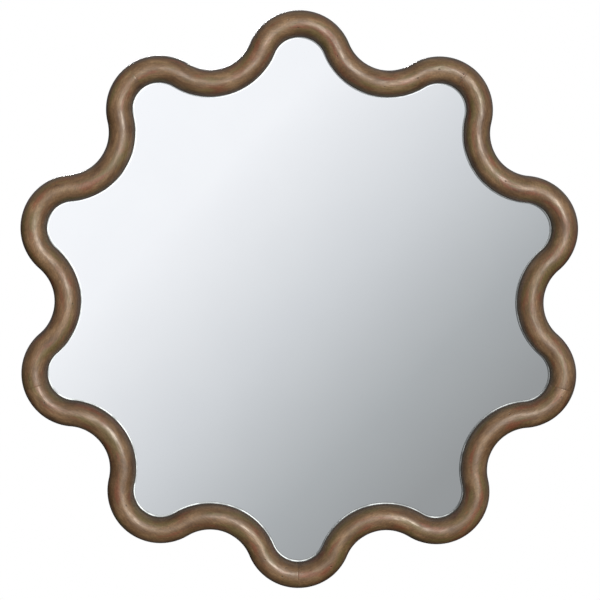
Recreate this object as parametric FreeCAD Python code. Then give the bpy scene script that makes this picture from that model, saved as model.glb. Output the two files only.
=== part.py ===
import FreeCAD, Part
import math
import os

# Wavy wall mirror: a ring of ten lobes, butt-jointed from five half-round wooden segments, round a
# wavy-cut glass on a fibreboard panel. It hangs from two rings on the back.
#
# Millimetres. +Z is up, the front faces -Y, and +X is to the right seen from the front.
# The origin is the mirror's centre on the plane of the wall.
# Angles round the ring run clockwise from the top, seen from the front.
# In a section of the moulding, "out" is the distance outward from its centreline, and "fore" is
# the distance forward from the wall.

Vector = FreeCAD.Vector
BACKWARD = Vector(0, 1, 0)
FORWARD = Vector(0, -1, 0)

# Plan of the ring: its centreline is a chain of tangent arcs, one on each lobe and each valley.
LOBES = 10
SEGMENTS = 5
LOBE_CENTRE_RADIUS = 372.9
LOBE_BEND_RADIUS = 63.2
VALLEY_CENTRE_RADIUS = 453.2

# Section of the moulding.
MOULDING_WIDTH = 42.2
FRAME_BACK = 7.0
ROUND_CENTRE = 27.4
BACK_EDGE_RADIUS = 6.0
RABBET_WALL = -8.0
RABBET_DEPTH = 6.5

# What the frame holds, from the back to the front.
PANEL_THICKNESS = 6.0
PANEL_CLEARANCE = 0.5
TAPE_THICKNESS = 1.0
TAPE_WIDTH = 20.0
TAPE_SPACING = 120.0
TAPE_LENGTHS = (420.0, 560.0, 620.0, 560.0, 420.0)
GLASS_THICKNESS = 4.0
GLASS_EDGE = -19.1
GLASS_BEVEL_WIDTH = 3.5
GLASS_BEVEL_DEPTH = 0.8

# Dowels across each butt joint.
DOWEL_RADIUS = 4.0
DOWEL_LENGTH = 40.0
DOWEL_CHAMFER = 0.8
DOWEL_FORES = (21.0, 35.0)
DOWEL_GLUE_LINE = 0.05
DOWEL_END_GAP = 0.5

# Screws.
SCREW_SHANK_RADIUS = 1.6
SCREW_PILOT_GAP = 0.02
SCREW_TIP_LENGTH = 3.0
PANEL_SCREW_OUT = -12.7
PANEL_SCREW_LENGTH = 16.0
PANEL_SCREW_HEAD_RADIUS = 3.5
PANEL_HOLE_RADIUS = 2.0
HANGER_SCREW_LENGTH = 18.0
HANGER_SCREW_HEAD_RADIUS = 3.4
HANGER_SCREW_HEAD_HEIGHT = 2.2
HANGER_SCREW_RIM = 1.0

# Hangers: a strap with a rolled loop, and a D-ring whose straight bar turns in the loop.
HANGER_X = 283.0
RING_BAR_Z = 320.0
RING_BAR_HEIGHT = 3.2
RING_WIRE_RADIUS = 1.5
RING_HALF_WIDTH = 11.5
RING_CORNER_RADIUS = 3.5
RING_SIDE = 8.0
STRAP_THICKNESS = 1.0
STRAP_WIDTH = 13.0
STRAP_LOOP_CLEARANCE = 0.1
STRAP_RAMP_LENGTH = 7.0
STRAP_LOOP_TURN = 300.0
STRAP_HOLE_DROPS = (27.0, 42.0)
STRAP_HOLE_RADIUS = 2.0
STRAP_END_DROP = 49.0

# Wall bumpers.
BUMPER_RADIUS = 8.0
BUMPER_TOP_RADIUS = 6.8
BUMPER_EDGE_RADIUS = 1.2
BUMPER_OUT = 4.0

# Worked out from the above.
TUBE_RADIUS = MOULDING_WIDTH / 2
LOBE_PITCH = 360.0 / LOBES
SEGMENT_ANGLE = 360.0 / SEGMENTS
RABBET_SHOULDER = FRAME_BACK + RABBET_DEPTH
PANEL_BACK = RABBET_SHOULDER - PANEL_THICKNESS
TAPE_FRONT = RABBET_SHOULDER + TAPE_THICKNESS


def direction(angle):
    """Unit vector in the plane of the wall, at an angle clockwise from the top."""
    turn = math.radians(angle)
    return Vector(math.sin(turn), 0, math.cos(turn))


lobe_to_valley = direction(LOBE_PITCH / 2) * VALLEY_CENTRE_RADIUS - direction(0) * LOBE_CENTRE_RADIUS
VALLEY_BEND_RADIUS = lobe_to_valley.Length - LOBE_BEND_RADIUS
LOBE_HALF_TURN = math.degrees(math.atan2(lobe_to_valley.x, lobe_to_valley.z))
VALLEY_HALF_TURN = LOBE_HALF_TURN - LOBE_PITCH / 2


def ring_point(angle, out, fore=0.0):
    """Point on a lobe's crest, in a section at that lobe's angle."""
    return direction(angle) * (LOBE_CENTRE_RADIUS + LOBE_BEND_RADIUS + out) + FORWARD * fore


def valley_point(angle, out, fore=0.0):
    """Point on the bottom of a valley, in a section at that valley's angle."""
    return direction(angle) * (VALLEY_CENTRE_RADIUS - VALLEY_BEND_RADIUS + out) + FORWARD * fore


def moulding_section(base, outward):
    """Face of the moulding's section: base is its centreline on the plane of the wall."""
    def at(out, fore):
        return base + outward * out + FORWARD * fore

    back_corner = BACK_EDGE_RADIUS * (1 - math.sqrt(0.5))
    inner_foot = -math.sqrt(TUBE_RADIUS ** 2 - (ROUND_CENTRE - RABBET_SHOULDER) ** 2)
    front = ROUND_CENTRE + TUBE_RADIUS
    rabbet_back = at(RABBET_WALL, FRAME_BACK)
    rabbet_corner = at(RABBET_WALL, RABBET_SHOULDER)
    land_end = at(TUBE_RADIUS - BACK_EDGE_RADIUS, FRAME_BACK)
    side_start = at(TUBE_RADIUS, FRAME_BACK + BACK_EDGE_RADIUS)
    side_end = at(TUBE_RADIUS, ROUND_CENTRE)
    shoulder_end = at(inner_foot, RABBET_SHOULDER)
    back_edge_middle = at(TUBE_RADIUS - back_corner, FRAME_BACK + back_corner)
    edges = [
        Part.LineSegment(rabbet_back, land_end).toShape(),
        Part.Arc(land_end, back_edge_middle, side_start).toShape(),
        Part.LineSegment(side_start, side_end).toShape(),
        Part.Arc(side_end, at(0, front), at(-TUBE_RADIUS, ROUND_CENTRE)).toShape(),
        Part.Arc(at(-TUBE_RADIUS, ROUND_CENTRE), inner_round_middle(at), shoulder_end).toShape(),
        Part.LineSegment(shoulder_end, rabbet_corner).toShape(),
        Part.LineSegment(rabbet_corner, rabbet_back).toShape(),
    ]
    return Part.Face(Part.Wire(edges))


def inner_round_middle(at):
    """Point halfway down the round, between its widest line and the rabbet's shoulder."""
    middle = (ROUND_CENTRE - RABBET_SHOULDER) / 2
    return at(-math.sqrt(TUBE_RADIUS ** 2 - middle ** 2), ROUND_CENTRE - middle)


def lobe_stretch(lobe_angle, start_turn, end_turn):
    """Moulding round a lobe's bend, between two turns from the lobe's crest."""
    centre = direction(lobe_angle) * LOBE_CENTRE_RADIUS
    outward = direction(lobe_angle + start_turn)
    section = moulding_section(centre + outward * LOBE_BEND_RADIUS, outward)
    return section.revolve(centre, BACKWARD, end_turn - start_turn)


def valley_stretch(valley_angle):
    """Moulding round a valley's bend, from the lobe before it to the lobe after it."""
    centre = direction(valley_angle) * VALLEY_CENTRE_RADIUS
    outward = direction(valley_angle + VALLEY_HALF_TURN)
    section = moulding_section(centre - outward * VALLEY_BEND_RADIUS, outward)
    return section.revolve(centre, BACKWARD, -2 * VALLEY_HALF_TURN)


def wavy_face(out, fore):
    """Flat face inside the ring, whose edge lies parallel to the centreline."""
    lobe_radius = LOBE_BEND_RADIUS + out
    valley_radius = VALLEY_BEND_RADIUS - out
    edges = []
    for number in range(LOBES):
        lobe_angle = number * LOBE_PITCH
        valley_angle = lobe_angle + LOBE_PITCH / 2
        lobe_centre = direction(lobe_angle) * LOBE_CENTRE_RADIUS + FORWARD * fore
        valley_centre = direction(valley_angle) * VALLEY_CENTRE_RADIUS + FORWARD * fore
        lobe_points = [lobe_centre + direction(lobe_angle + turn) * lobe_radius
                       for turn in (-LOBE_HALF_TURN, 0, LOBE_HALF_TURN)]
        valley_points = [valley_centre - direction(valley_angle + turn) * valley_radius
                         for turn in (VALLEY_HALF_TURN, 0, -VALLEY_HALF_TURN)]
        edges.append(Part.Arc(*lobe_points).toShape())
        edges.append(Part.Arc(*valley_points).toShape())
    return Part.Face(Part.Wire(edges))


def revolved(profile, base, axis):
    """Solid of a closed profile of (distance, radius) corners, turned about an axis."""
    side = Vector(1, 0, 0) if abs(axis.y) > 0.5 else BACKWARD
    corners = [base + axis * along + side * radius for along, radius in profile]
    face = Part.Face(Part.makePolygon(corners + corners[:1]))
    return face.revolve(base, axis, 360)


def cylinder(radius, base, axis, length):
    return Part.makeCylinder(radius, length, base, axis)


# Fasteners ------------------------------------------------------------------------------------

def joint_angles():
    return [(number + 0.5) * SEGMENT_ANGLE for number in range(SEGMENTS)]


def dowel_places():
    """Centre and axis of each dowel: they run straight across the butt joints."""
    for angle in joint_angles():
        for fore in DOWEL_FORES:
            yield ring_point(angle, 0, fore), direction(angle + 90)


def dowel(centre, axis):
    end = DOWEL_LENGTH / 2
    shoulder = end - DOWEL_CHAMFER
    tip_radius = DOWEL_RADIUS - DOWEL_CHAMFER
    profile = [(-end, 0), (-end, tip_radius), (-shoulder, DOWEL_RADIUS),
               (shoulder, DOWEL_RADIUS), (end, tip_radius), (end, 0)]
    return revolved(profile, centre, axis)


def dowel_bore(centre, axis):
    half = DOWEL_LENGTH / 2 + DOWEL_END_GAP
    return cylinder(DOWEL_RADIUS + DOWEL_GLUE_LINE, centre - axis * half, axis, 2 * half)


def panel_screw_heads():
    """Middle of each panel screw's head, flush with the back of the panel, in the valleys."""
    return [valley_point((number + 0.5) * LOBE_PITCH, PANEL_SCREW_OUT, PANEL_BACK)
            for number in range(LOBES)]


def panel_screw(head):
    cone = PANEL_SCREW_HEAD_RADIUS - SCREW_SHANK_RADIUS
    profile = [(0, 0), (0, PANEL_SCREW_HEAD_RADIUS), (cone, SCREW_SHANK_RADIUS),
               (PANEL_SCREW_LENGTH - SCREW_TIP_LENGTH, SCREW_SHANK_RADIUS), (PANEL_SCREW_LENGTH, 0)]
    return revolved(profile, head, FORWARD)


def panel_screw_hole(head):
    """Clearance hole through the panel, countersunk to take the head."""
    rim = PANEL_SCREW_HEAD_RADIUS + 2 * SCREW_PILOT_GAP
    cone = rim - PANEL_HOLE_RADIUS
    profile = [(0, 0), (0, rim), (cone, PANEL_HOLE_RADIUS),
               (PANEL_THICKNESS, PANEL_HOLE_RADIUS), (PANEL_THICKNESS, 0)]
    return revolved(profile, head, FORWARD)


def hanger_screw_seats(side):
    """Middle of each hole in a strap, on the outer face of the strap."""
    return [Vector(side * HANGER_X, STRAP_THICKNESS - FRAME_BACK, RING_BAR_Z - drop)
            for drop in STRAP_HOLE_DROPS]


def hanger_screw(seat):
    """Pan-head screw: a rim and a domed top on the strap, and a shank into the wood."""
    radius = HANGER_SCREW_HEAD_RADIUS
    dome = HANGER_SCREW_HEAD_HEIGHT - HANGER_SCREW_RIM
    dome_radius = (radius ** 2 + dome ** 2) / (2 * dome)
    dome_half_angle = math.asin(radius / dome_radius) / 2
    dome_middle = HANGER_SCREW_HEAD_HEIGHT - dome_radius * (1 - math.cos(dome_half_angle))

    def at(across, height):
        return seat + Vector(across, height, 0)

    point = at(0, -HANGER_SCREW_LENGTH)
    point_start = at(SCREW_SHANK_RADIUS, SCREW_TIP_LENGTH - HANGER_SCREW_LENGTH)
    neck = at(SCREW_SHANK_RADIUS, 0)
    foot = at(radius, 0)
    shoulder = at(radius, HANGER_SCREW_RIM)
    top = at(0, HANGER_SCREW_HEAD_HEIGHT)
    edges = [
        Part.LineSegment(point, point_start).toShape(),
        Part.LineSegment(point_start, neck).toShape(),
        Part.LineSegment(neck, foot).toShape(),
        Part.LineSegment(foot, shoulder).toShape(),
        Part.Arc(shoulder, at(dome_radius * math.sin(dome_half_angle), dome_middle), top).toShape(),
        Part.LineSegment(top, point).toShape(),
    ]
    return Part.Face(Part.Wire(edges)).revolve(seat, BACKWARD, 360)


def pilot_hole(mouth, depth):
    """Hole in the wood that a screw's shank and point fill."""
    radius = SCREW_SHANK_RADIUS + SCREW_PILOT_GAP
    return cylinder(radius, mouth, FORWARD, depth + SCREW_PILOT_GAP)


# Frame ----------------------------------------------------------------------------------------

def wood_cuts():
    """Everything that is drilled into the wood."""
    cuts = [dowel_bore(centre, axis) for centre, axis in dowel_places()]
    screw_depth = PANEL_SCREW_LENGTH - PANEL_THICKNESS
    for head in panel_screw_heads():
        cuts.append(pilot_hole(head + FORWARD * PANEL_THICKNESS, screw_depth))
    for side in (-1, 1):
        for seat in hanger_screw_seats(side):
            wood_face = seat + FORWARD * STRAP_THICKNESS
            cuts.append(pilot_hole(wood_face, HANGER_SCREW_LENGTH - STRAP_THICKNESS))
    return cuts


def frame_segment(middle_angle, cuts):
    """Half a lobe, a valley, a lobe, a valley and half a lobe, in one piece of wood."""
    first = middle_angle - LOBE_PITCH
    last = middle_angle + LOBE_PITCH
    stretches = [
        lobe_stretch(first, 0, LOBE_HALF_TURN),
        valley_stretch(middle_angle - LOBE_PITCH / 2),
        lobe_stretch(middle_angle, -LOBE_HALF_TURN, LOBE_HALF_TURN),
        valley_stretch(middle_angle + LOBE_PITCH / 2),
        lobe_stretch(last, -LOBE_HALF_TURN, 0),
    ]
    segment = stretches[0].multiFuse(stretches[1:]).removeSplitter()
    near = [cut for cut in cuts if cut.BoundBox.intersect(segment.BoundBox)]
    return segment.cut(near)


# Glass, tape and panel ------------------------------------------------------------------------

def mirror_glass():
    """Wavy-cut glass, with a shallow bevel all round its front edge."""
    blank = wavy_face(GLASS_EDGE, TAPE_FRONT).extrude(FORWARD * GLASS_THICKNESS)
    glass_front = TAPE_FRONT + GLASS_THICKNESS
    front_edges = [edge for edge in blank.Edges
                   if abs(edge.BoundBox.YMin + glass_front) < 0.01
                   and abs(edge.BoundBox.YMax + glass_front) < 0.01]
    return blank.makeChamfer(GLASS_BEVEL_DEPTH, GLASS_BEVEL_WIDTH, front_edges)


def mounting_tape():
    strips = []
    for number, length in enumerate(TAPE_LENGTHS):
        middle = (number - (len(TAPE_LENGTHS) - 1) / 2) * TAPE_SPACING
        corner = Vector(middle - TAPE_WIDTH / 2, -TAPE_FRONT, -length / 2)
        strips.append(Part.makeBox(TAPE_WIDTH, TAPE_THICKNESS, length, corner))
    return strips


def backing_panel():
    blank = wavy_face(RABBET_WALL - PANEL_CLEARANCE, PANEL_BACK).extrude(FORWARD * PANEL_THICKNESS)
    return blank.cut([panel_screw_hole(head) for head in panel_screw_heads()])


# Hangers and bumpers --------------------------------------------------------------------------

def hanger_strap(side):
    """Flat strap with a rounded foot, two holes, and its top rolled into a loop for the bar."""
    inner = RING_WIRE_RADIUS + STRAP_LOOP_CLEARANCE
    outer = inner + STRAP_THICKNESS
    left = side * HANGER_X - STRAP_WIDTH / 2
    bar = Vector(left, RING_BAR_HEIGHT - FRAME_BACK, RING_BAR_Z)
    foot = RING_BAR_Z - STRAP_END_DROP
    ramp_foot = RING_BAR_Z - STRAP_RAMP_LENGTH

    def flat(height, z):
        return Vector(left, height - FRAME_BACK, z)

    def on_loop(radius, turn):
        angle = math.radians(turn)
        return bar + Vector(0, -math.cos(angle) * radius, math.sin(angle) * radius)

    edges = [
        Part.LineSegment(flat(0, foot), flat(0, ramp_foot)).toShape(),
        Part.LineSegment(flat(0, ramp_foot), on_loop(outer, 0)).toShape(),
        Part.Arc(on_loop(outer, 0), on_loop(outer, STRAP_LOOP_TURN / 2),
                 on_loop(outer, STRAP_LOOP_TURN)).toShape(),
        Part.LineSegment(on_loop(outer, STRAP_LOOP_TURN), on_loop(inner, STRAP_LOOP_TURN)).toShape(),
        Part.Arc(on_loop(inner, STRAP_LOOP_TURN), on_loop(inner, STRAP_LOOP_TURN / 2),
                 on_loop(inner, 0)).toShape(),
        Part.LineSegment(on_loop(inner, 0), flat(STRAP_THICKNESS, ramp_foot)).toShape(),
        Part.LineSegment(flat(STRAP_THICKNESS, ramp_foot), flat(STRAP_THICKNESS, foot)).toShape(),
        Part.LineSegment(flat(STRAP_THICKNESS, foot), flat(0, foot)).toShape(),
    ]
    strap = Part.Face(Part.Wire(edges)).extrude(Vector(STRAP_WIDTH, 0, 0))
    foot_edges = [edge for edge in strap.Edges
                  if edge.BoundBox.ZMax < foot + 0.01 and edge.BoundBox.XLength < 0.01]
    strap = strap.makeFillet(STRAP_WIDTH / 2 - 0.5, foot_edges)
    holes = [cylinder(STRAP_HOLE_RADIUS, seat, FORWARD, STRAP_THICKNESS)
             for seat in hanger_screw_seats(side)]
    return strap.cut(holes)


def hanging_ring(side):
    """D-ring of round wire: a straight bar at the top, two corners, two sides and a half circle."""
    bar = Vector(side * HANGER_X, RING_BAR_HEIGHT - FRAME_BACK, RING_BAR_Z)
    straight = RING_HALF_WIDTH - RING_CORNER_RADIUS
    right, down = Vector(1, 0, 0), Vector(0, 0, -1)
    side_top = down * RING_CORNER_RADIUS
    side_length = RING_SIDE - RING_CORNER_RADIUS

    wire = [cylinder(RING_WIRE_RADIUS, bar - right * straight, right, 2 * straight)]
    for hand in (-1, 1):
        side_start = bar + right * (hand * RING_HALF_WIDTH) + side_top
        wire.append(cylinder(RING_WIRE_RADIUS, side_start, down, side_length))
        corner_centre = bar + right * (hand * straight) + side_top
        corner = Part.Face(Part.Wire(Part.makeCircle(RING_WIRE_RADIUS, side_start, down)))
        wire.append(corner.revolve(corner_centre, BACKWARD, -90 * hand))
    bow_centre = bar + down * RING_SIDE
    bow_start = bow_centre + right * RING_HALF_WIDTH
    bow = Part.Face(Part.Wire(Part.makeCircle(RING_WIRE_RADIUS, bow_start, down)))
    wire.append(bow.revolve(bow_centre, BACKWARD, 180))
    return wire[0].multiFuse(wire[1:]).removeSplitter()


def wall_bumper(angle):
    """Self-adhesive rubber foot, tapered towards the wall, with a rounded rim."""
    base = ring_point(angle, BUMPER_OUT, FRAME_BACK)
    cone = revolved([(0, 0), (0, BUMPER_RADIUS), (FRAME_BACK, BUMPER_TOP_RADIUS), (FRAME_BACK, 0)],
                    base, BACKWARD)
    rim = [edge for edge in cone.Edges if edge.BoundBox.YMin > -0.01 and len(edge.Vertexes) == 1]
    return cone.makeFillet(BUMPER_EDGE_RADIUS, rim)


# Sub-parts ------------------------------------------------------------------------------------

def save(node, solids):
    shape = solids[0] if len(solids) == 1 else Part.makeCompound(solids)
    shape.exportStep("parts/%s.step" % node)


os.makedirs("parts", exist_ok=True)

drilled = wood_cuts()
SEGMENT_PLACES = ("top", "upper_right", "lower_right", "lower_left", "upper_left")
for number, place in enumerate(SEGMENT_PLACES):
    middle = number * SEGMENT_ANGLE
    save("frame_segment_" + place, [frame_segment(middle, drilled)])
    if place != "top":
        save("wall_bumper_" + place, [wall_bumper(middle)])

save("joint_dowels", [dowel(centre, axis) for centre, axis in dowel_places()])
save("mirror_glass", [mirror_glass()])
save("mounting_tape", mounting_tape())
save("backing_panel", [backing_panel()])
save("panel_screws", [panel_screw(head) for head in panel_screw_heads()])

for hanger, side in (("left", -1), ("right", 1)):
    save(hanger + "_hanger_strap", [hanger_strap(side)])
    save(hanger + "_hanging_ring", [hanging_ring(side)])
    save(hanger + "_hanger_screws", [hanger_screw(seat) for seat in hanger_screw_seats(side)])
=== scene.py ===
import math

import bmesh
import bpy
from mathutils import Matrix, Vector, noise


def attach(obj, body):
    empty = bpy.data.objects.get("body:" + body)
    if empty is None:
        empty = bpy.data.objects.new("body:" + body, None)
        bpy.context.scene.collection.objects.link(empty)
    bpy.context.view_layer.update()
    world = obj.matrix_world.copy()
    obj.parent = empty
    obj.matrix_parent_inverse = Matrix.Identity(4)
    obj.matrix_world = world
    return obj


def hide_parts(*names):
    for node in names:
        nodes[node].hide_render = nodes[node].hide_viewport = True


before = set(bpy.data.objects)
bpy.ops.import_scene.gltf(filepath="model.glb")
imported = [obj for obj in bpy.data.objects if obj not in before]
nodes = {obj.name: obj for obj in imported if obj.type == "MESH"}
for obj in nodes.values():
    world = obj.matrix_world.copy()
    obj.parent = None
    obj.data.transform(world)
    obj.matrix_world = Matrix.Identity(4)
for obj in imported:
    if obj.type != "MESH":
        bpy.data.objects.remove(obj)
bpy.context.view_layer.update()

# Wavy wall mirror: a ring of ten lobes, butt-jointed from five half-round wooden segments, round a
# wavy-cut mirror. Sizes are in millimetres and become metres in to_metres().
# Angles round the ring run clockwise from the top, seen from the front. In a section of the
# moulding, "out" is the distance outward from its centreline, and "fore" the distance forward
# from the wall.

# Plan of the ring: tangent arcs, one on each lobe and each valley.
LOBES = 10
LOBE_CENTRE_RADIUS = 372.9
LOBE_BEND_RADIUS = 63.2
VALLEY_CENTRE_RADIUS = 453.2
LOBE_PITCH = 360.0 / LOBES
SEGMENT_ANGLES = {"top": 0.0, "upper_right": 72.0, "lower_right": 144.0,
                  "lower_left": 216.0, "upper_left": 288.0}

# Section of the moulding.
TUBE_RADIUS = 21.1
FRAME_BACK = 7.0
ROUND_CENTRE = 27.4
BACK_EDGE_RADIUS = 6.0
RABBET_WALL = -8.0
RABBET_SHOULDER = 13.5
ARRIS_EASE = 0.5

# Hand-shaped surface: how far it may dip below the true section, over what length and breadth,
# and the share of that on the flat back.
HAND_DIP = 0.35
HAND_LENGTH = 45.0
HAND_BREADTH = 18.0
BACK_DIP_SHARE = 0.2
SEAM_INSET = 0.12
SEAM_HALF_WIDTH = 0.6
STATION_STEP = 2.2

# How light each segment's stain came out, clockwise from the top.
SEGMENT_TONES = (1.01, 0.97, 0.99, 0.98, 1.04)

# Glass.
GLASS_BACK = 14.5
GLASS_FRONT = 18.5
GLASS_EDGE = -19.1
GLASS_ARRIS = 0.4
GLASS_BEVEL_WIDTH = 3.5
GLASS_BEVEL_DEPTH = 0.8
GROUND_WIDTH = 2.3
GROUND_DEPTH = 0.4
GROUND_WIDENING = 0.15

# Hand-ground rim of the glass at each lobe, clockwise from the top: how much wider than true the
# bevel is, and how light its ground outer part and its polished inner part are painted: painted
# light and shade on the ground part, a painted reflection on the polished part. The ground part
# takes only a share of the widening, GROUND_WIDENING.
RIM_EXTRA = (0.0, 0.1, 0.6, 0.5, 0.3, 0.3, 0.2, 0.0, 0.0, 0.0)
RIM_GROUND_PAINTED_LIGHT = (0.96, 0.96, 0.92, 0.88, 0.90, 0.95, 1.00, 0.97, 0.97, 0.97)
RIM_BEVEL_PAINTED_REFLECTION = (1.00, 0.92, 0.60, 0.46, 0.42, 0.48, 0.68, 0.85, 1.00, 1.00)

# Foam tape.
TAPE_BACK = 13.5
TAPE_WIDTH = 20.0
TAPE_SPACING = 120.0
TAPE_LENGTHS = (420.0, 560.0, 620.0, 560.0, 420.0)
TAPE_CORNER = 0.3
TAPE_BULGE = 0.35

# Screws.
PANEL_BACK = 7.5
PANEL_SCREW_OUT = -12.7
PANEL_SCREW_HEAD_RADIUS = 3.5
PANEL_SCREW_LENGTH = 16.0
SHANK_RADIUS = 1.6
HANGER_X = 283.0
RING_BAR_Z = 320.0
STRAP_FACE = 6.0
STRAP_HOLE_DROPS = (27.0, 42.0)
HANGER_SCREW_HEAD_RADIUS = 3.4
HANGER_SCREW_HEAD_HEIGHT = 2.2
HANGER_SCREW_RIM = 1.0
HANGER_SCREW_LENGTH = 18.0
THREAD_PITCH = 1.2
THREAD_DEPTH = 0.35
SCREW_POINT_LENGTH = 2.4
RECESS_ARM = 1.75
RECESS_HALF_WIDTH = 0.42
RECESS_DEPTH = 1.2

# Wall bumpers.
BUMPER_RADIUS = 8.0
BUMPER_TOP_RADIUS = 7.0
BUMPER_EDGE_RADIUS = 1.2
BUMPER_OUT = 4.0

MILLIMETRE = 0.001
FORWARD = Vector((0, -1, 0))
BACKWARD = Vector((0, 1, 0))


def direction(angle):
    """Unit vector in the plane of the wall, at an angle clockwise from the top."""
    turn = math.radians(angle)
    return Vector((math.sin(turn), 0, math.cos(turn)))


lobe_to_valley = (direction(LOBE_PITCH / 2) * VALLEY_CENTRE_RADIUS
                  - direction(0) * LOBE_CENTRE_RADIUS)
VALLEY_BEND_RADIUS = lobe_to_valley.length - LOBE_BEND_RADIUS
LOBE_HALF_TURN = math.degrees(math.atan2(lobe_to_valley.x, lobe_to_valley.z))
VALLEY_HALF_TURN = LOBE_HALF_TURN - LOBE_PITCH / 2


def to_metres(points):
    """Points in millimetres, as Blender's metres."""
    return [point * MILLIMETRE for point in points]


# Node materials -------------------------------------------------------------------------------

def linear(red, green, blue):
    """Shader colour of a display colour given in steps of 255."""
    def channel(value):
        value /= 255
        return value / 12.92 if value <= 0.04045 else ((value + 0.055) / 1.055) ** 2.4
    return (channel(red), channel(green), channel(blue), 1.0)


def node(tree, kind, sockets=None, **settings):
    made = tree.nodes.new("ShaderNode" + kind)
    for name, value in settings.items():
        setattr(made, name, value)
    for name, value in (sockets or {}).items():
        if isinstance(value, bpy.types.NodeSocket):
            tree.links.new(value, made.inputs[name])
        else:
            made.inputs[name].default_value = value
    return made


def math_node(tree, operation, *values, clamp=False):
    made = node(tree, "Math", dict(enumerate(values)), operation=operation, use_clamp=clamp)
    return made.outputs[0]


def product(tree, value, *factors):
    for factor in factors:
        value = math_node(tree, "MULTIPLY", value, factor)
    return value


def grey(tree, value):
    return node(tree, "CombineColor", {0: value, 1: value, 2: value}).outputs[0]


def mixed(tree, factor, first, second, blend="MIX"):
    made = node(tree, "Mix", {0: factor, 6: first, 7: second}, data_type="RGBA", blend_type=blend)
    return made.outputs[2]


def stretched(tree, vector, scale, offset=(0.0, 0.0, 0.0)):
    made = node(tree, "VectorMath", {0: vector, 1: scale, 2: offset}, operation="MULTIPLY_ADD")
    return made.outputs[0]


def cloud(tree, vector, scale=1.0, detail=3.0, rough=0.5, distortion=0.0):
    made = node(tree, "TexNoise", {"Vector": vector, "Scale": scale, "Detail": detail,
                                   "Roughness": rough, "Distortion": distortion})
    return made.outputs[0]


def ranged(tree, value, low, high, to_low=0.0, to_high=1.0):
    made = node(tree, "MapRange", {0: value, 1: low, 2: high, 3: to_low, 4: to_high},
                interpolation_type="SMOOTHSTEP")
    return made.outputs[0]


def ramp(tree, value, stops):
    made = node(tree, "ValToRGB", {0: value})
    elements = made.color_ramp.elements
    while len(elements) < len(stops):
        elements.new(0.5)
    for element, (place, colour) in zip(elements, stops):
        element.position = place
        element.color = colour
    return made.outputs[0]


def bumped(tree, height, distance, strength=1.0, normal=None):
    sockets = {"Height": height, "Distance": distance, "Strength": strength}
    if normal is not None:
        sockets["Normal"] = normal
    return node(tree, "Bump", sockets).outputs[0]


def new_material(name):
    material = bpy.data.materials.new(name)
    material.use_nodes = True
    material.node_tree.nodes.clear()
    return material, material.node_tree


def finish_material(tree, sockets):
    surface = node(tree, "BsdfPrincipled", sockets)
    node(tree, "OutputMaterial", {"Surface": surface.outputs[0]})


def attribute(tree, name, output="Vector"):
    return node(tree, "Attribute", attribute_name=name).outputs[output]


def object_place(tree):
    return node(tree, "TexCoord").outputs["Object"]


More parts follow.
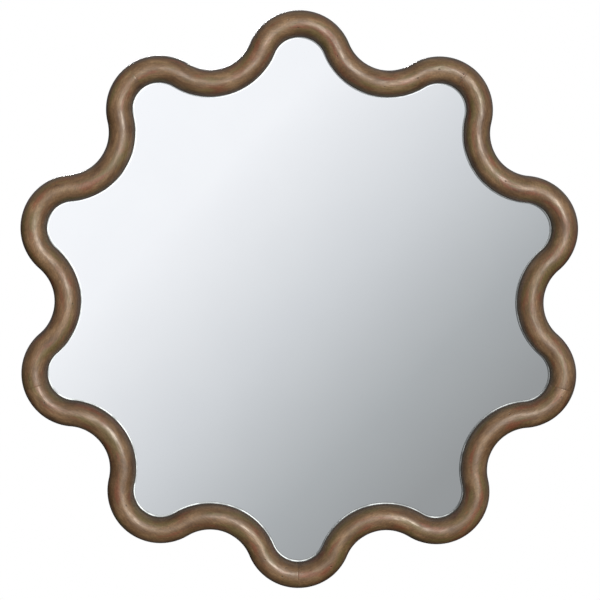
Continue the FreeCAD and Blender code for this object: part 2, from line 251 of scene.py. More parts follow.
def frame_wood():
    """Hand-rubbed walnut-brown lacquer: olive and reddish patches along the moulding, fine grain
    along each board, specks, a few dark pits, a darker line at each joint, and painted shade on the
    sides of the moulding and on its inner flank."""
    material, tree = new_material("walnut_lacquer")
    moulding = attribute(tree, "moulding")
    board = attribute(tree, "board")
    seam = attribute(tree, "seam", "Fac")
    tone = attribute(tree, "tone", "Fac")

    patches = cloud(tree, stretched(tree, moulding, (24, 70, 70)), detail=4, rough=0.6)
    colour = ramp(tree, patches, [(0.30, linear(75, 52, 33)), (0.52, linear(100, 75, 50)),
                                  (0.72, linear(123, 97, 69))])
    olive = cloud(tree, stretched(tree, moulding, (17, 70, 70), (3.1, 7.7, 1.3)), detail=3)
    colour = mixed(tree, ranged(tree, olive, 0.50, 0.68, 0.0, 0.75), colour, linear(88, 76, 42))
    red = cloud(tree, stretched(tree, moulding, (23, 85, 85), (8.3, 2.9, 5.1)), detail=4)
    colour = mixed(tree, ranged(tree, red, 0.52, 0.70, 0.0, 0.75), colour, linear(104, 58, 38))

    grain = cloud(tree, stretched(tree, board, (22, 700, 700)), detail=5, rough=0.6,
                  distortion=0.15)
    pores = cloud(tree, stretched(tree, board, (90, 2100, 2100), (1.7, 4.1, 9.2)), detail=2)
    specks = cloud(tree, stretched(tree, moulding, (330, 420, 420), (4.4, 6.1, 0.7)), detail=2,
                   rough=0.7)
    cells = node(tree, "TexVoronoi", {"Vector": stretched(tree, moulding, (80, 120, 120)),
                                      "Scale": 1.0, "Randomness": 1.0})
    chosen = node(tree, "SeparateColor", {0: cells.outputs["Color"]}).outputs[0]
    pit = product(tree, ranged(tree, cells.outputs["Distance"], 0.07, 0.16, 1.0, 0.0),
                  ranged(tree, chosen, 0.84, 0.86))

    # Painted shade: the colour is lighter along the front of the moulding and darker on its sides,
    # deepest at the widest line and lighter again behind it.
    out, fore = node(tree, "SeparateXYZ", {0: moulding}).outputs[1:3]
    side = product(tree, ranged(tree, fore, 0.033, 0.0488, 0.37, 1.04),
                   ranged(tree, fore, 0.0275, 0.0375, 0.30, 1.0))
    side = math_node(tree, "MAXIMUM", side, ranged(tree, fore, 0.016, 0.0275, 0.70, 0.0))
    shade = product(tree,
                    ranged(tree, grain, 0.35, 0.70, 0.80, 1.12),
                    ranged(tree, pores, 0.62, 0.74, 1.0, 0.72),
                    ranged(tree, specks, 0.30, 0.70, 0.84, 1.16),
                    ranged(tree, pit, 0.0, 1.0, 1.0, 0.35),
                    ranged(tree, seam, 0.0, 1.0, 1.0, 0.86),
                    tone,
                    # Painted shade: the inner flank, next to the glass, is darker.
                    ranged(tree, out, -0.020, -0.006, 0.86, 1.0),
                    side)
    colour = mixed(tree, 1.0, colour, grey(tree, shade), "MULTIPLY")

    smudges = cloud(tree, stretched(tree, moulding, (40, 130, 130), (5.5, 0.4, 2.2)), detail=4,
                    rough=0.65)
    rough = math_node(tree, "MAXIMUM", ranged(tree, smudges, 0.30, 0.72, 0.36, 0.56),
                      ranged(tree, out, -0.0205, -0.016, 1.0, 0.0))
    waves = cloud(tree, stretched(tree, moulding, (30, 90, 90)), detail=2)
    normal = bumped(tree, waves, 0.0011, 0.75)
    normal = bumped(tree, grain, 0.00012, 0.5, normal)
    normal = bumped(tree, math_node(tree, "SUBTRACT", 1.0, pit), 0.0005, 0.8, normal)
    finish_material(tree, {"Base Color": colour, "Roughness": rough, "Normal": normal, "IOR": 1.55,
                           "Specular Tint": (1.0, 0.88, 0.76, 1.0),
                           "Sheen Weight": 0.04, "Sheen Roughness": 0.35})
    return material


def beech():
    """Bare beech: pale, close grain with short darker flecks."""
    material, tree = new_material("beech_dowel")
    place = object_place(tree)
    grain = cloud(tree, stretched(tree, place, (260, 260, 260)), detail=4, rough=0.6)
    colour = ramp(tree, grain, [(0.3, linear(188, 150, 108)), (0.7, linear(222, 190, 150))])
    flecks = ranged(tree, cloud(tree, place, 1500, 2), 0.60, 0.68, 0.0, 0.5)
    colour = mixed(tree, flecks, colour, linear(150, 108, 72))
    finish_material(tree, {"Base Color": colour, "Roughness": 0.62,
                           "Normal": bumped(tree, grain, 0.0002, 0.5)})
    return material


def silver():
    """Silvered face: a clean mirror with the faintest unevenness of rolled glass."""
    material, tree = new_material("silvered_glass")
    place = object_place(tree)
    film = ranged(tree, cloud(tree, place, 9, 3), 0.35, 0.65, 0.0, 1.0)
    colour = mixed(tree, film, (0.955, 0.965, 0.97, 1.0), (0.945, 0.955, 0.962, 1.0))
    haze = ranged(tree, cloud(tree, place, 60, 4), 0.3, 0.7, 0.012, 0.022)
    finish_material(tree, {"Base Color": colour, "Metallic": 1.0, "Roughness": haze})
    return material


def ground_edge():
    """Ground part of the glass: frosted, with painted light and shade, pale at some lobes and dark
    brown at others, and a painted glow from its emission."""
    material, tree = new_material("ground_edge_painted_light_and_glow")
    place = object_place(tree)
    marks = cloud(tree, place, 1400, 3, 0.7)
    pale = ramp(tree, marks, [(0.3, linear(228, 236, 233)), (0.7, linear(250, 253, 252))])
    uneven = ranged(tree, cloud(tree, place, 42, 2), 0.38, 0.56, 0.72, 1.0)
    # Painted light and shade: each lobe's given lightness mixes the pale colour with dark brown.
    light = math_node(tree, "MULTIPLY", attribute(tree, "ground_painted_light", "Fac"), uneven)
    light = math_node(tree, "POWER", light, 2.2)
    colour = mixed(tree, light, linear(24, 20, 17), pale)
    # Painted glow: the edge also emits its own colour.
    finish_material(tree, {"Base Color": colour, "Roughness": 0.38, "IOR": 1.52,
                           "Emission Color": colour, "Emission Strength": 0.22,
                           "Normal": bumped(tree, marks, 0.0001, 0.4)})
    return material


def bevel_line():
    """Polished inner part of the bevel: painted reflection, dark grey at the lower right, and
    painted glow.
    """
    material, tree = new_material("polished_bevel_painted_glow")
    place = object_place(tree)
    streaks = cloud(tree, place, 160, 3, 0.6)
    grey = ramp(tree, streaks, [(0.3, linear(24, 26, 26)), (0.7, linear(48, 52, 52))])
    # Painted reflection: each lobe's given lightness mixes dark grey with white.
    light = math_node(tree, "POWER", attribute(tree, "bevel_painted_reflection", "Fac"), 2.2)
    colour = mixed(tree, light, grey, linear(244, 248, 250))
    # Painted glow: the bevel also emits its own colour.
    finish_material(tree, {"Base Color": colour, "Roughness": 0.30, "IOR": 1.52,
                           "Emission Color": colour, "Emission Strength": 0.22,
                           "Normal": bumped(tree, streaks, 0.0001, 0.3)})
    return material


def mirror_paint():
    """Grey protective paint on the back of the glass."""
    material, tree = new_material("mirror_back_paint")
    place = object_place(tree)
    mottle = cloud(tree, place, 35, 5, 0.6)
    colour = ramp(tree, mottle, [(0.3, linear(104, 110, 114)), (0.7, linear(124, 130, 133))])
    finish_material(tree, {"Base Color": colour, "Roughness": 0.55,
                           "Normal": bumped(tree, cloud(tree, place, 900, 2), 0.00008, 0.5)})
    return material


def foam():
    """White closed-cell foam."""
    material, tree = new_material("tape_foam")
    place = object_place(tree)
    cells = node(tree, "TexVoronoi", {"Vector": place, "Scale": 2200.0})
    colour = ramp(tree, cells.outputs["Distance"], [(0.0, linear(206, 205, 198)),
                                                   (0.6, linear(240, 240, 235))])
    finish_material(tree, {"Base Color": colour, "Roughness": 0.9,
                           "Normal": bumped(tree, cells.outputs["Distance"], 0.0003, 0.7)})
    return material


def fibreboard():
    """Bare pressed fibre: matted short fibres, darker flecks and a faint sanding direction."""
    material, tree = new_material("bare_fibreboard")
    place = object_place(tree)
    fibres = cloud(tree, stretched(tree, place, (900, 900, 900)), detail=5, rough=0.7,
                   distortion=1.4)
    mottle = cloud(tree, place, 22, 4, 0.6)
    colour = ramp(tree, fibres, [(0.28, linear(136, 108, 76)), (0.5, linear(168, 137, 100)),
                                 (0.74, linear(192, 162, 124))])
    colour = mixed(tree, ranged(tree, mottle, 0.35, 0.70, 0.0, 0.35), colour, linear(146, 114, 80))
    flecks = ranged(tree, cloud(tree, place, 420, 2), 0.66, 0.74, 0.0, 0.6)
    colour = mixed(tree, flecks, colour, linear(96, 72, 48))
    sanding = cloud(tree, stretched(tree, place, (40, 40, 1500)), detail=2)
    normal = bumped(tree, sanding, 0.00006, 0.5)
    normal = bumped(tree, fibres, 0.0002, 0.5, normal)
    finish_material(tree, {"Base Color": colour, "Roughness": 0.86, "Normal": normal})
    return material


def plated(name, dark, light, rough_low, rough_high):
    """Plated steel: cloudy plating, fine drawing marks and small dull spots."""
    material, tree = new_material(name)
    place = object_place(tree)
    plating = cloud(tree, place, 420, 4, 0.65)
    colour = ramp(tree, plating, [(0.3, dark), (0.7, light)])
    spots = ranged(tree, cloud(tree, place, 1300, 2), 0.63, 0.70, 0.0, 0.45)
    colour = mixed(tree, spots, colour, linear(118, 114, 106))
    marks = cloud(tree, stretched(tree, place, (2600, 2600, 180)), detail=3, rough=0.6)
    rough = ranged(tree, plating, 0.3, 0.7, rough_low, rough_high)
    finish_material(tree, {"Base Color": colour, "Metallic": 1.0, "Roughness": rough,
                           "Normal": bumped(tree, marks, 0.00004, 0.6)})
    return material


def rubber():
    """Black moulded rubber with a faint bloom."""
    material, tree = new_material("bumper_rubber")
    place = object_place(tree)
    bloom = cloud(tree, place, 260, 4, 0.6)
    colour = ramp(tree, bloom, [(0.35, linear(30, 30, 31)), (0.75, linear(52, 52, 54))])
    finish_material(tree, {"Base Color": colour, "Roughness": 0.72,
                           "Normal": bumped(tree, cloud(tree, place, 2600, 2), 0.00008, 0.6)})
    return material


WOOD = frame_wood()
BEECH = beech()
SILVER = silver()
GROUND = ground_edge()
BEVEL = bevel_line()
PAINT = mirror_paint()
FOAM = foam()
BOARD = fibreboard()
ZINC = plated("zinc_plating", linear(176, 174, 168), linear(208, 207, 202), 0.34, 0.46)
NICKEL = plated("nickel_plating", linear(190, 188, 182), linear(222, 220, 214), 0.20, 0.32)
RUBBER = rubber()


# Pieces ---------------------------------------------------------------------------------------

def piece(name, points, faces, materials, slot, *replaced, sharp=35.0):
    """One closed mesh from points in millimetres, shaded smooth up to an angle."""
    mesh = bpy.data.meshes.new(name)
    mesh.from_pydata(to_metres(points), [], faces)
    work = bmesh.new()
    work.from_mesh(mesh)
    bmesh.ops.recalc_face_normals(work, faces=work.faces)
    work.to_mesh(mesh)
    work.free()
    mesh.shade_smooth()
    mesh.set_sharp_from_angle(angle=math.radians(sharp))
    for material in materials:
        mesh.materials.append(material)
    made = bpy.data.objects.new(name, mesh)
    bpy.context.scene.collection.objects.link(made)
    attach(made, "mirror")
    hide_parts(*replaced)
    return made


def add_values(made, name, kind, values):
    """Keep a value at each point, for the materials to read."""
    layer = made.data.attributes.new(name, kind, "POINT")
    if kind == "FLOAT_VECTOR":
        layer.data.foreach_set("vector", [number for value in values for number in value])
    else:
        layer.data.foreach_set("value", values)


def solid_faces(ring_size, ring_count, first=0):
    """Quads between rings of points laid one after another, then a face over each end."""
    faces = []
    for ring in range(ring_count - 1):
        near = first + ring * ring_size
        far = near + ring_size
        for step in range(ring_size):
            after = (step + 1) % ring_size
            faces.append((near + step, near + after, far + after, far + step))
    last = first + (ring_count - 1) * ring_size
    faces += [tuple(range(first, first + ring_size)), tuple(range(last, last + ring_size))]
    return faces


# Wooden segments.

def section():
    """Outline of the moulding: (out, fore) and the outline's outward normal at each point."""
    foot = math.degrees(math.asin((ROUND_CENTRE - RABBET_SHOULDER) / TUBE_RADIUS))
    outline = []

    def straight(start, end, normal, steps):
        for step in range(steps + 1):
            share = step / steps
            outline.append((start[0] + (end[0] - start[0]) * share,
                            start[1] + (end[1] - start[1]) * share, normal))

    def bend(out, fore, radius, start, end, steps):
        for step in range(1, steps + 1):
            turn = math.radians(start + (end - start) * step / steps)
            normal = (math.cos(turn), math.sin(turn))
            outline.append((out + radius * normal[0], fore + radius * normal[1], normal))

    land_end = TUBE_RADIUS - BACK_EDGE_RADIUS
    straight((RABBET_WALL + ARRIS_EASE, FRAME_BACK), (land_end, FRAME_BACK), (0, -1), 6)
    bend(land_end, FRAME_BACK + BACK_EDGE_RADIUS, BACK_EDGE_RADIUS, -90, 0, 6)
    straight((TUBE_RADIUS, FRAME_BACK + BACK_EDGE_RADIUS + 3), (TUBE_RADIUS, ROUND_CENTRE),
             (1, 0), 3)
    bend(0, ROUND_CENTRE, TUBE_RADIUS, 0, 180, 40)
    bend(0, ROUND_CENTRE, TUBE_RADIUS, 180, 180 + foot - 1, 8)
    shoulder_start = -TUBE_RADIUS * math.cos(math.radians(foot)) + ARRIS_EASE
    straight((shoulder_start, RABBET_SHOULDER), (RABBET_WALL, RABBET_SHOULDER), (0, -1), 3)
    straight((RABBET_WALL, RABBET_SHOULDER - 1), (RABBET_WALL, FRAME_BACK + ARRIS_EASE),
             (-1, 0), 2)
    return outline


def centreline(middle_angle):
    """Stations along one segment: (distance along, base on the wall's plane, outward)."""
    stations = []
    length = 0.0

    def bend(centre, radius, start, end, sign):
        """sign is 1 where the bend's centre lies on the inner side, and -1 on the outer."""
        nonlocal length
        arc = math.radians(abs(end - start)) * radius
        steps = max(2, round(arc / STATION_STEP))
        for step in range(steps + 1):
            if step == 0 and stations:
                continue
            outward = direction(start + (end - start) * step / steps)
            base = centre + outward * (sign * radius)
            stations.append((length + arc * step / steps, base, outward))
        length += arc

    def lobe(angle, start, end):
        bend(direction(angle) * LOBE_CENTRE_RADIUS, LOBE_BEND_RADIUS, angle + start, angle + end, 1)

    def valley(angle):
        bend(direction(angle) * VALLEY_CENTRE_RADIUS, VALLEY_BEND_RADIUS,
             angle + VALLEY_HALF_TURN, angle - VALLEY_HALF_TURN, -1)

    seam_turns = [math.degrees(SEAM_HALF_WIDTH * share / LOBE_BEND_RADIUS)
                  for share in (0, 0.35, 1)]
    first, last = middle_angle - LOBE_PITCH, middle_angle + LOBE_PITCH
    for start, end in zip(seam_turns, seam_turns[1:]):
        lobe(first, start, end)
    lobe(first, seam_turns[-1], LOBE_HALF_TURN)
    valley(middle_angle - LOBE_PITCH / 2)
    lobe(middle_angle, -LOBE_HALF_TURN, LOBE_HALF_TURN)
    valley(middle_angle + LOBE_PITCH / 2)
    lobe(last, -LOBE_HALF_TURN, -seam_turns[-1])
    for start, end in zip(seam_turns[:0:-1], seam_turns[-2::-1]):
        lobe(last, -start, -end)
    return stations


def hand_dip(along, out, fore, number):
    """How far the hand-shaped surface lies below the true section."""
    place = Vector((along / HAND_LENGTH + 17.0 * number, out / HAND_BREADTH, fore / HAND_BREADTH))
    return HAND_DIP * (0.5 + 0.5 * noise.noise(place))


def wooden_segment(number, place, middle_angle, tone):
    """One segment, with its own grain: each point also keeps its place along the moulding and in
    the straight board that the segment was cut from."""
    outline = section()
    stations = centreline(middle_angle)
    total = stations[-1][0]
    turn = Matrix.Rotation(math.radians(middle_angle), 3, "Y")
    points, moulding, board, seams = [], [], [], []
    for along, base, outward in stations:
        from_seam = min(along, total - along)
        inset = SEAM_INSET * max(0.0, 1 - from_seam / SEAM_HALF_WIDTH)
        for out, fore, (normal_out, normal_fore) in outline:
            share = 1.0 if fore > RABBET_SHOULDER + 0.01 else BACK_DIP_SHARE
            dip = hand_dip(along, out, fore, number) * share + inset
            at_out = out - normal_out * dip
            at_fore = fore - normal_fore * dip
            point = base + outward * at_out + FORWARD * at_fore
            points.append(point)
            moulding.append((MILLIMETRE * along + number, MILLIMETRE * out, MILLIMETRE * fore))
            flat = turn.inverted() @ point
            board.append((MILLIMETRE * flat.x + number, MILLIMETRE * flat.y, MILLIMETRE * flat.z))
            seams.append(max(0.0, 1 - from_seam / (2 * SEAM_HALF_WIDTH)))
    faces = solid_faces(len(outline), len(stations))
    made = piece("wood_" + place, points, faces, [WOOD], "frame_wood", "frame_segment_" + place)
    add_values(made, "moulding", "FLOAT_VECTOR", moulding)
    add_values(made, "board", "FLOAT_VECTOR", board)
    add_values(made, "seam", "FLOAT", seams)
    add_values(made, "tone", "FLOAT", [tone] * len(points))


for number, (place, middle_angle) in enumerate(SEGMENT_ANGLES.items()):
    wooden_segment(number, place, middle_angle, SEGMENT_TONES[number])


# Glass.

def wavy_loop(out, fore):
    """Points of a loop parallel to the moulding's centreline."""
    points = []
    lobe_steps, valley_steps = 24, 26
    lobe_radius, valley_radius = LOBE_BEND_RADIUS + out, VALLEY_BEND_RADIUS - out
    for number in range(LOBES):
        angle = number * LOBE_PITCH
        centre = direction(angle) * LOBE_CENTRE_RADIUS
        for step in range(lobe_steps):
            turn = LOBE_HALF_TURN * (2 * step / lobe_steps - 1)
            points.append(centre + direction(angle + turn) * lobe_radius + FORWARD * fore)
        angle += LOBE_PITCH / 2
        centre = direction(angle) * VALLEY_CENTRE_RADIUS
        for step in range(valley_steps):
            turn = VALLEY_HALF_TURN * (1 - 2 * step / valley_steps)
            points.append(centre - direction(angle + turn) * valley_radius + FORWARD * fore)
    return points


def at_lobes(values, point):
    """Value at a point of the glass, between the values given for the lobes on both sides of it."""
    place = math.degrees(math.atan2(point.x, point.z)) % 360 / LOBE_PITCH
    number = int(place)
    share = place - number
    return values[number % LOBES] * (1 - share) + values[(number + 1) % LOBES] * share


def mirror_plate():
    """Glass with a small arris behind, an upright edge, and a shallow bevel in front: ground along
    its outer part and polished along its inner."""
    bevel_fore = GLASS_FRONT - GLASS_BEVEL_DEPTH
    profile = [(GLASS_EDGE - GLASS_ARRIS, GLASS_BACK, 0),
               (GLASS_EDGE, GLASS_BACK + GLASS_ARRIS, 0),
               (GLASS_EDGE, bevel_fore, 0),
               (GLASS_EDGE - GROUND_WIDTH, bevel_fore + GROUND_DEPTH, GROUND_WIDENING),
               (GLASS_EDGE - GLASS_BEVEL_WIDTH, GLASS_FRONT, 1)]
    points = []
    for out, fore, widening in profile:
        for point in wavy_loop(out, fore):
            inward = Vector((-point.x, 0, -point.z)).normalized()
            points.append(point + inward * (widening * at_lobes(RIM_EXTRA, point)))
    size = len(points) // len(profile)
    faces = solid_faces(size, len(profile))
    polished, flats = size * (len(profile) - 2), size * (len(profile) - 1)
    made = piece("mirror_plate", points, faces, [GROUND, PAINT, SILVER, BEVEL], "mirror",
                 "mirror_glass", sharp=5)
    for face in made.data.polygons[polished:flats]:
        face.material_index = 3
    for face, material in ((flats, 1), (flats + 1, 2)):
        made.data.polygons[face].material_index = material
        made.data.polygons[face].use_smooth = False
    # Painted light and shade for the ground part and painted reflection for the polished part, at
    # each lobe.
    for name, values in (("ground_painted_light", RIM_GROUND_PAINTED_LIGHT), ("bevel_painted_reflection", RIM_BEVEL_PAINTED_REFLECTION)):
        add_values(made, name, "FLOAT", [at_lobes(values, point) for point in points])


mirror_plate()


# Foam tape.

def foam_strips():
    """Five strips of foam tape, squeezed a little so that their sides bulge."""
    half = TAPE_WIDTH / 2
    thickness = GLASS_BACK - TAPE_BACK
    inset = half - TAPE_CORNER
    across = [(-inset, 0), (-half, 0.25), (-half, 0.75), (-inset, 1),
              (inset, 1), (half, 0.75), (half, 0.25), (inset, 0)]
    points, faces = [], []
    steps = 60
    for number, length in enumerate(TAPE_LENGTHS):
        middle = (number - (len(TAPE_LENGTHS) - 1) / 2) * TAPE_SPACING
        first = len(points)
        for step in range(steps + 1):
            z = length * (step / steps - 0.5)
            pinch = TAPE_BULGE * noise.noise(Vector((number * 5.0, 0.0, z / 30)))
            for x, share in across:
                side = math.copysign(max(0.0, pinch), x)
                points.append(Vector((middle + x - side, -TAPE_BACK - thickness * share, z)))
        faces += solid_faces(len(across), steps + 1, first)
    piece("foam_strips", points, faces, [FOAM], "foam_tape", "mounting_tape", sharp=50)


foam_strips()


# Screws and bumpers: turned forms, built from rings of points.

RECESS_CORNER = math.degrees(math.atan2(RECESS_HALF_WIDTH, RECESS_ARM))
QUARTER_TURNS = (-45, -32, -22, -RECESS_CORNER - 4, -RECESS_CORNER, 0,
                 RECESS_CORNER, RECESS_CORNER + 4, 22, 32)
HEAD_TURNS = [quarter * 90 + turn for quarter in range(4) for turn in QUARTER_TURNS]


def cross_radius(turn):
    """Distance from the middle of a cross recess to its outline."""
    off_arm = math.radians(abs((turn + 45) % 90 - 45))
    if off_arm <= math.radians(RECESS_CORNER) + 1e-6:
        return RECESS_ARM / math.cos(off_arm)
    return RECESS_HALF_WIDTH / math.sin(off_arm)


def turned(seats, rings, turns):
    """Solids of rings: each ring is a height over the seat, and a radius or a function of turn."""
    points, faces = [], []
    for seat in seats:
        first = len(points)
        for height, radius in rings:
            for turn in turns:
                reach = radius(turn) if callable(radius) else radius
                points.append(seat + BACKWARD * height + direction(turn) * reach)
        faces += solid_faces(len(turns), len(rings), first)
    return points, faces


def recess_rings(head_height, surface, rim_radius, steps):
    """Rings of a cross recess and the head's surface round it, out to the head's rim."""
    def inner(scale):
        return lambda turn: cross_radius(turn) * scale

    def between(share):
        return lambda turn: cross_radius(turn) + (rim_radius - cross_radius(turn)) * share

    rings = [(head_height - RECESS_DEPTH, inner(0.45)), (head_height - 0.12, inner(0.94))]
    for step in range(steps + 1):
        share = step / steps
        middle_reach = RECESS_ARM * 0.7 + (rim_radius - RECESS_ARM * 0.7) * share
        rings.append((surface(middle_reach), between(share)))
    return rings


def shank_rings(length, start_depth):
    """Rings of a threaded shank that ends in a point."""
    rings = []
    depth = start_depth
    while depth < length - SCREW_POINT_LENGTH - THREAD_PITCH / 2:
        rings += [(-depth, SHANK_RADIUS - THREAD_DEPTH), (-depth - THREAD_PITCH / 2, SHANK_RADIUS)]
        depth += THREAD_PITCH
    return rings + [(SCREW_POINT_LENGTH - length, SHANK_RADIUS - 0.4), (-length, 0.08)]


def panel_screws():
    cone = PANEL_SCREW_HEAD_RADIUS - SHANK_RADIUS
    rings = recess_rings(0.0, lambda reach: 0.0, PANEL_SCREW_HEAD_RADIUS - 0.1, 3)
    rings += [(-0.12, PANEL_SCREW_HEAD_RADIUS - 0.02), (-cone, SHANK_RADIUS)]
    rings += shank_rings(PANEL_SCREW_LENGTH, cone + 0.6)
    seats = []
    for number in range(LOBES):
        angle = (number + 0.5) * LOBE_PITCH
        reach = VALLEY_CENTRE_RADIUS - VALLEY_BEND_RADIUS + PANEL_SCREW_OUT
        seats.append(direction(angle) * reach + FORWARD * PANEL_BACK)
    points, faces = turned(seats, rings, HEAD_TURNS)
    piece("panel_screw_set", points, faces, [ZINC], "zinc_screw", "panel_screws", sharp=30)


def hanger_screws(name, side):
    dome = HANGER_SCREW_HEAD_HEIGHT - HANGER_SCREW_RIM
    dome_radius = (HANGER_SCREW_HEAD_RADIUS ** 2 + dome ** 2) / (2 * dome)

    def surface(reach):
        return HANGER_SCREW_HEAD_HEIGHT - dome_radius + math.sqrt(dome_radius ** 2 - reach ** 2)

    radius = HANGER_SCREW_HEAD_RADIUS
    rings = recess_rings(HANGER_SCREW_HEAD_HEIGHT - 0.1, surface, radius - 0.25, 6)
    rings += [(HANGER_SCREW_RIM - 0.1, radius - 0.02), (0.1, radius), (0.0, radius - 0.1),
              (0.0, SHANK_RADIUS)]
    rings += shank_rings(HANGER_SCREW_LENGTH, 1.2)
    seats = [Vector((side * HANGER_X, -STRAP_FACE, RING_BAR_Z - drop)) for drop in STRAP_HOLE_DROPS]
    points, faces = turned(seats, rings, HEAD_TURNS)
    piece(name + "_hanger_screw_pair", points, faces, [ZINC], "zinc_screw",
          name + "_hanger_screws", sharp=30)


def bumper(place, angle):
    """Rubber foot: glued rim on the wood, tapered wall, rounded rim and a shallow dished face."""
    turns = [360 * step / 48 for step in range(48)]
    height = FRAME_BACK
    rings = [(0.0, BUMPER_RADIUS - 0.05), (0.35, BUMPER_RADIUS - 0.05), (0.5, BUMPER_RADIUS - 0.3)]
    for degrees in (0, 18, 36, 54, 72, 90):
        turn = math.radians(degrees)
        rings.append((height - BUMPER_EDGE_RADIUS * (1 - math.sin(turn)),
                      BUMPER_TOP_RADIUS - BUMPER_EDGE_RADIUS * (1 - math.cos(turn))))
    rings += [(height, 4.4), (height - 0.35, 4.0), (height - 0.45, 2.0), (height - 0.45, 0.3)]
    reach = LOBE_CENTRE_RADIUS + LOBE_BEND_RADIUS + BUMPER_OUT
    seat = direction(angle) * reach + FORWARD * FRAME_BACK
    points, faces = turned([seat], rings, turns)
    piece("bumper_" + place, points, faces, [RUBBER], "bumper_rubber",
          "wall_bumper_" + place, sharp=40)


panel_screws()
for name, side in (("left", -1), ("right", 1)):
    hanger_screws(name, side)
for place, angle in SEGMENT_ANGLES.items():
    if place != "top":
        bumper(place, angle)


# CAD nodes that keep their shape get their finish.

def dress(name, material):
    """Give a CAD node one material."""
    mesh = nodes[name].data
    mesh.materials.clear()
    mesh.materials.append(material)


dress("joint_dowels", BEECH)
dress("backing_panel", BOARD)
for name in ("left", "right"):
    dress(name + "_hanger_strap", NICKEL)
    dress(name + "_hanging_ring", NICKEL)


# Studio ---------------------------------------------------------------------------------------

# Angles are in degrees: the azimuth to the right of the front, then the elevation. Distances
# here are in metres, and lamps are in watts.
SOFTBOX_AXIS = (4.0, 8.0)
SOFTBOX_COLOUR = (0.7, 0.7, 0.72, 1.0)
GREY_WALL_AXIS = (0.0, -4.4)
HIGHLIGHT_LAMP_AXIS = (14.0, 8.0)
BACK_LAMP_AXIS = (186.0, 10.0)
LAMP_DISTANCE = 10.0
LAMP_POWER = 1100.0
FLOOR_DROP = 1.2
FLOOR_RADIUS = 2.5
FLOOR_FADE_START = 1.2
CAMERA_AXIS = (0.297, 4.389)
CAMERA_ROLL = 0.157
CAMERA_DISTANCE = 3.6188
CAMERA_LENS = 136.58
CAMERA_SHIFT = (0.0017, 0.0007)


def aim(azimuth, elevation):
    """Unit vector from the mirror at two angles."""
    turn, rise = math.radians(azimuth), math.radians(elevation)
    level = math.cos(rise)
    return Vector((math.sin(turn) * level, -math.cos(turn) * level, math.sin(rise)))


def towards(tree, place, axis, outer, inner):
    """1 within an angle of an axis, falling to 0 at a wider angle."""
    dot = node(tree, "VectorMath", {0: place, 1: aim(*axis)}, operation="DOT_PRODUCT")
    low, high = (math.cos(math.radians(angle)) for angle in (outer, inner))
    return ranged(tree, dot.outputs["Value"], low, high)


def studio_world():
    """Soft studio: a bright wall in front that greys to the right and downward, a light ceiling
    and a dark lower half over a grey floor, with plain white behind for the camera."""
    world = bpy.data.worlds.new("studio")
    bpy.context.scene.world = world
    world.use_nodes = True
    tree = world.node_tree
    tree.nodes.clear()
    place = node(tree, "TexCoord").outputs["Generated"]
    x, y, z = node(tree, "SeparateXYZ", {0: place}).outputs
    share = math_node(tree, "ADD", math_node(tree, "SUBTRACT", x, z), 0.5)
    front = ramp(tree, share, [
        (0.00, (1.00, 1.00, 1.01, 1)), (0.40, (0.97, 0.98, 1.01, 1)),
        (0.48, (0.93, 0.94, 0.97, 1)), (0.577, (0.66, 0.68, 0.708, 1)),
        (0.621, (0.525, 0.545, 0.565, 1)), (0.657, (0.42, 0.44, 0.455, 1)),
        (0.710, (0.32, 0.332, 0.34, 1)), (1.00, (0.20, 0.21, 0.22, 1))])
    height = math_node(tree, "MULTIPLY_ADD", x, 0.3, z)
    room = ramp(tree, math_node(tree, "MULTIPLY_ADD", height, 0.5, 0.5), [
        (0.00, (0.20, 0.20, 0.21, 1)), (0.12, (0.01, 0.01, 0.01, 1)),
        (0.37, (0.01, 0.01, 0.01, 1)), (0.50, (0.55, 0.56, 0.60, 1)),
        (0.78, (1.00, 1.02, 1.08, 1)), (1.00, (1.35, 1.37, 1.44, 1))])
    dim = ramp(tree, math_node(tree, "MULTIPLY_ADD", y, 0.5, 0.5), [
        (0.42, (0.22, 0.22, 0.22, 1)), (0.58, (0.62, 0.62, 0.62, 1)),
        (0.82, (0.40, 0.40, 0.40, 1))])
    room = mixed(tree, 1.0, room, dim, "MULTIPLY")
    room = mixed(tree, 1.0, room, grey(tree, ranged(tree, y, -0.85, -0.35, 0.26, 0.0)), "ADD")
    light = mixed(tree, towards(tree, place, SOFTBOX_AXIS, 55, 36), room, SOFTBOX_COLOUR)
    light = mixed(tree, towards(tree, place, GREY_WALL_AXIS, 18, 9), light, front)
    seen = node(tree, "LightPath").outputs["Is Camera Ray"]
    colour = mixed(tree, seen, light, (1.0, 1.0, 1.0, 1.0))
    background = node(tree, "Background", {"Color": colour, "Strength": 1.0})
    node(tree, "OutputWorld", {"Surface": background.outputs[0]})


def lamp(name, axis, size):
    """Round soft lamp aimed at the mirror."""
    back = aim(*axis)
    data = bpy.data.lights.new(name, "AREA")
    data.shape = "DISK"
    data.size = size
    data.energy = LAMP_POWER
    made = bpy.data.objects.new(name, data)
    made.location = back * LAMP_DISTANCE
    made.rotation_euler = back.to_track_quat("Z", "Y").to_euler()
    made.visible_camera = False
    bpy.context.scene.collection.objects.link(made)


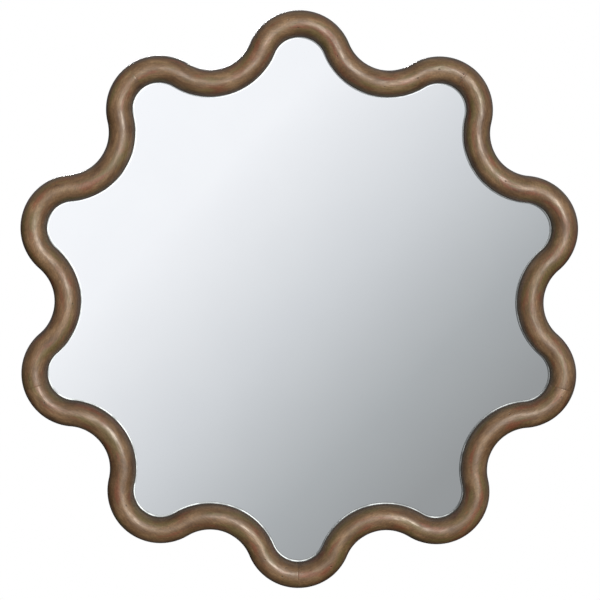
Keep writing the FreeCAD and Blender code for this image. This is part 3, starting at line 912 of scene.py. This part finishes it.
def floor():
    """Pale round floor well below the mirror, which fades out at its rim."""
    material, tree = new_material("pale_floor")
    place = object_place(tree)
    speckle = cloud(tree, place, 140, 3)
    colour = ramp(tree, speckle, [(0.3, linear(232, 232, 231)), (0.7, linear(240, 240, 239))])
    reach = node(tree, "VectorMath", {0: place}, operation="LENGTH").outputs["Value"]
    surface = node(tree, "BsdfPrincipled", {"Base Color": colour, "Roughness": 0.8})
    clear = node(tree, "BsdfTransparent")
    fade = node(tree, "MixShader", {0: ranged(tree, reach, FLOOR_FADE_START, FLOOR_RADIUS),
                                    1: surface.outputs[0], 2: clear.outputs[0]})
    node(tree, "OutputMaterial", {"Surface": fade.outputs[0]})

    steps = 96
    turns = [2 * math.pi * step / steps for step in range(steps)]
    rim = [Vector((FLOOR_RADIUS * math.cos(turn), FLOOR_RADIUS * math.sin(turn), 0))
           for turn in turns]
    mesh = bpy.data.meshes.new("floor")
    mesh.from_pydata(rim, [], [tuple(range(steps))])
    mesh.materials.append(material)
    made = bpy.data.objects.new("floor", mesh)
    made.location = (0, 0, -FLOOR_DROP)
    made.visible_diffuse = False
    made.visible_glossy = False
    bpy.context.scene.collection.objects.link(made)


def camera():
    """The photograph's view, from the front and a little above."""
    back = aim(*CAMERA_AXIS)
    azimuth, roll = math.radians(CAMERA_AXIS[0]), math.radians(CAMERA_ROLL)
    right = Vector((math.cos(azimuth), math.sin(azimuth), 0))
    up = back.cross(right)
    across = right * math.cos(roll) + up * math.sin(roll)
    upright = up * math.cos(roll) - right * math.sin(roll)
    data = bpy.data.cameras.new("photo_view")
    data.sensor_width = 36.0
    data.lens = CAMERA_LENS
    data.shift_x, data.shift_y = CAMERA_SHIFT
    made = bpy.data.objects.new("photo_view", data)
    rotation = Matrix((across, upright, back)).transposed()
    made.matrix_world = Matrix.Translation(back * CAMERA_DISTANCE) @ rotation.to_4x4()
    bpy.context.scene.collection.objects.link(made)
    bpy.context.scene.camera = made


studio_world()
lamp("highlight_lamp", HIGHLIGHT_LAMP_AXIS, 1.6)
lamp("back_lamp", BACK_LAMP_AXIS, 2.0)
floor()
camera()
bpy.context.scene.view_settings.view_transform = "Standard"
